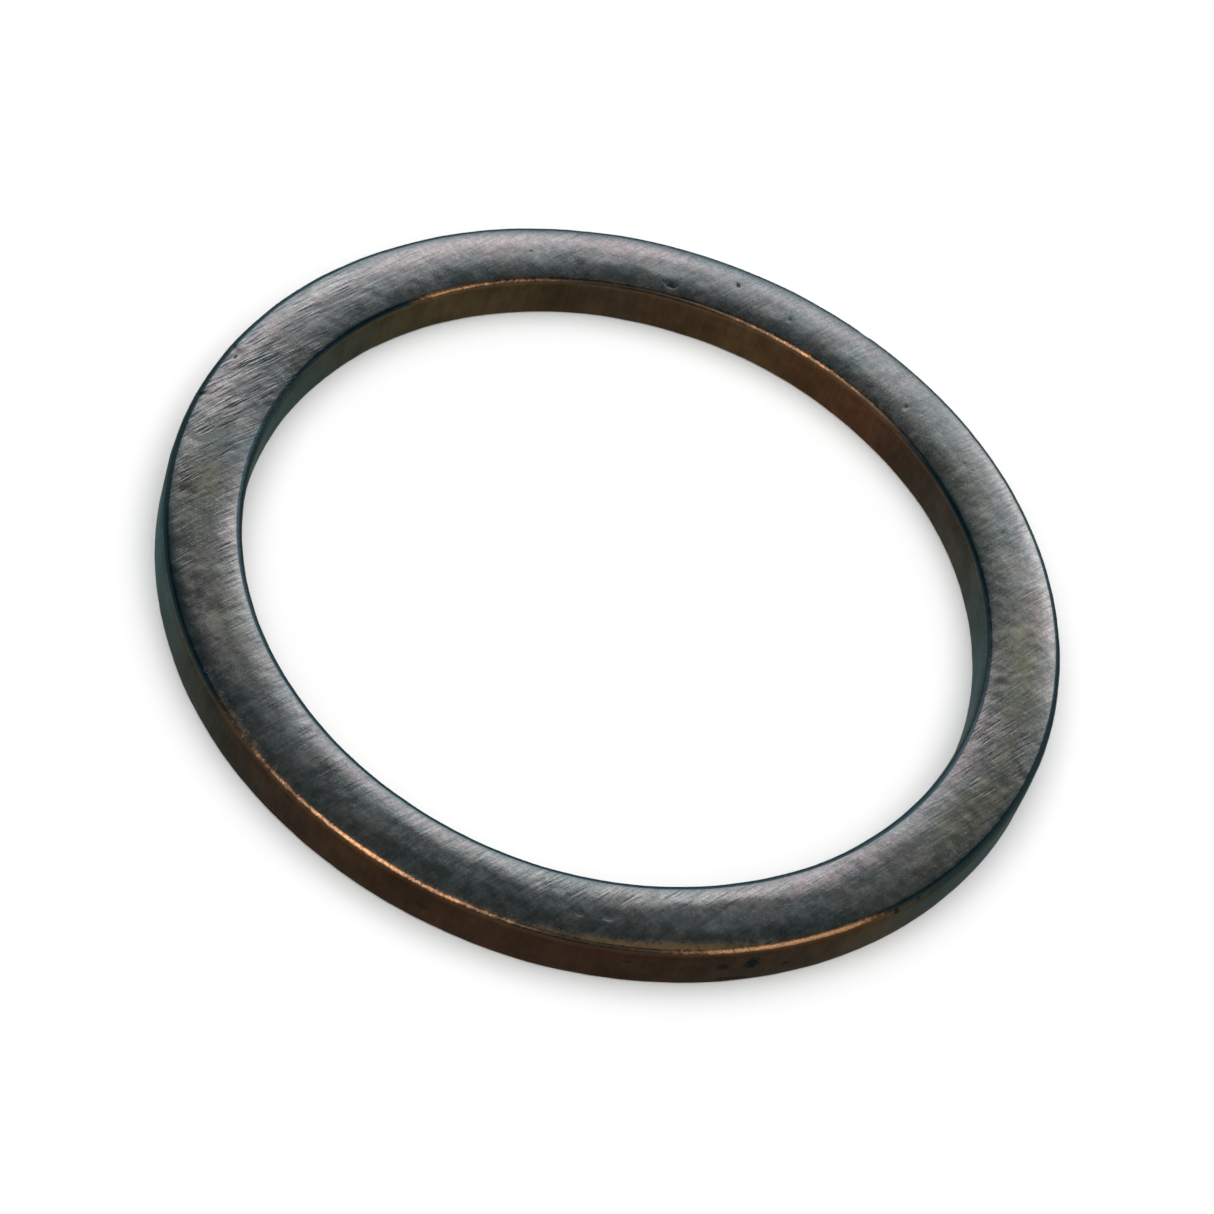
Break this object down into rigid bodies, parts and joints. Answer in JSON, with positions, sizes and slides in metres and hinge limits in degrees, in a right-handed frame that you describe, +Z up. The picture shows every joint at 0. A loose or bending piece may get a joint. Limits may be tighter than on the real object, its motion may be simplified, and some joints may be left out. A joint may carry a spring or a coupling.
{
  "type": "flat washer",
  "caption": "Plain flat ring washer of aged copper with low domed faces and softly rounded edges, for sealing under a screw plug or banjo bolt.",
  "frame": {"origin": "centre of the bore on the underside, where the washer rests", "axes": "+Z up along the bore's axis, from the underside to the domed upper side; X and Y are interchangeable because the ring is a body of revolution"},
  "size_m": [0.027, 0.027, 0.0015],
  "materials": {
    "aged_copper": "satin, dark oxide on the faces, brown copper walls, bare copper where the edges are worn"
  },
  "bodies": {
    "root": {"copper_ring": "aged_copper"}
  },
  "joints": []
}
